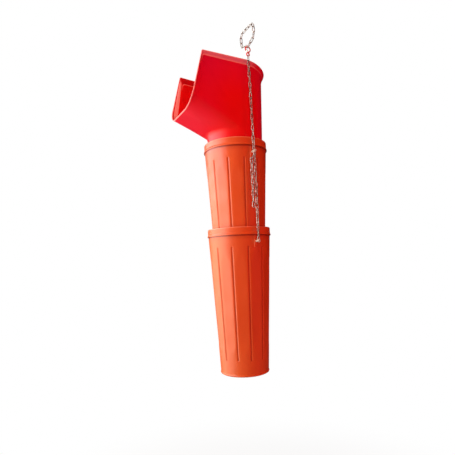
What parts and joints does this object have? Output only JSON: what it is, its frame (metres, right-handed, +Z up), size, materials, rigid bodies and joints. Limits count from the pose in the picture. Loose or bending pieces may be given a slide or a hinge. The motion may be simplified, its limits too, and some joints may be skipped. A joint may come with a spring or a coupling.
{
  "type": "rubble chute",
  "caption": "Hanging rubble chute: open red loading hopper over nested tapered orange sections, carried on side chains with hooks and lifting loops.",
  "frame": {"origin": "centre of the outlet, on the bottom edge of the lower section", "axes": "+Z up the axis of the chute; the hopper's mouth faces -X; the chains hang at -Y (near) and +Y (far)"},
  "size_m": [0.7331, 0.7456, 2.6509],
  "materials": {
    "hopper_plastic": "satin moulded polyethylene",
    "section_plastic": "satin moulded polyethylene",
    "chain_steel": "galvanised, slightly dull",
    "zinc_hardware": "bright zinc plate",
    "plate_steel": "plain steel",
    "hook_paint": "red paint, worn"
  },
  "bodies": {
    "hanger": {"hanger_chain_near": "chain_steel", "hanger_chain_far": "chain_steel", "lifting_loop_near": "chain_steel", "lifting_loop_far": "chain_steel", "hook_near": "hook_paint", "hook_far": "hook_paint", "latch_pins": "plate_steel"},
    "near_latch": {"latch_near": "zinc_hardware"},
    "far_latch": {"latch_far": "zinc_hardware"},
    "upper_section": {"upper_section": "section_plastic", "upper_bolts": "zinc_hardware", "upper_backing_plates": "plate_steel", "upper_sleeves": "zinc_hardware", "upper_washers": "zinc_hardware", "upper_nuts": "zinc_hardware"},
    "hopper": {"hopper": "hopper_plastic"},
    "lower_chains": {"lower_chain_near": "chain_steel", "lower_chain_far": "chain_steel"},
    "near_tail": {"chain_tail_near": "chain_steel"},
    "far_tail": {"chain_tail_far": "chain_steel"},
    "lower_section": {"lower_section": "section_plastic", "lower_bolts": "zinc_hardware", "lower_backing_plates": "plate_steel", "lower_sleeves": "zinc_hardware", "lower_washers": "zinc_hardware", "lower_nuts": "zinc_hardware"}
  },
  "joints": [
    {"name": "upper_section_swing", "type": "hinge", "parent": "hanger", "child": "upper_section", "pos_m": [0, 0, 1.7066], "axis": [0, 1, 0], "range_deg": [-1.5, 1.5]},
    {"name": "hopper_turn", "type": "hinge", "parent": "upper_section", "child": "hopper", "pos_m": [0, 0, 1.7636], "axis": [0, 0, 1], "range_deg": [-6, 11]},
    {"name": "lower_chain_swing", "type": "hinge", "parent": "upper_section", "child": "lower_chains", "pos_m": [0, 0, 1.7066], "axis": [0, 1, 0], "range_deg": [-0.7, 0.7]},
    {"name": "lower_section_swing", "type": "hinge", "parent": "lower_chains", "child": "lower_section", "pos_m": [0, 0, 1.027], "axis": [0, 1, 0], "range_deg": [-1.1, 1.1]},
    {"name": "near_tail_swing", "type": "hinge", "parent": "lower_chains", "child": "near_tail", "pos_m": [-0.03104, -0.28193, 1.64351], "axis": [0, 1, 0], "range_deg": [-1, 30]},
    {"name": "far_tail_swing", "type": "hinge", "parent": "lower_chains", "child": "far_tail", "pos_m": [-0.03104, 0.28193, 1.64351], "axis": [0, 1, 0], "range_deg": [-1, 30]},
    {"name": "near_latch_open", "type": "hinge", "parent": "hanger", "child": "near_latch", "pos_m": [-0.01908, -0.27553, 2.45464], "axis": [0, 1, 0], "range_deg": [0, 40], "stiffness_Nm_per_rad": 0.01, "springref_deg": -57.3},
    {"name": "far_latch_open", "type": "hinge", "parent": "hanger", "child": "far_latch", "pos_m": [-0.01908, 0.27553, 2.45464], "axis": [0, 1, 0], "range_deg": [0, 40], "stiffness_Nm_per_rad": 0.01, "springref_deg": -57.3}
  ]
}
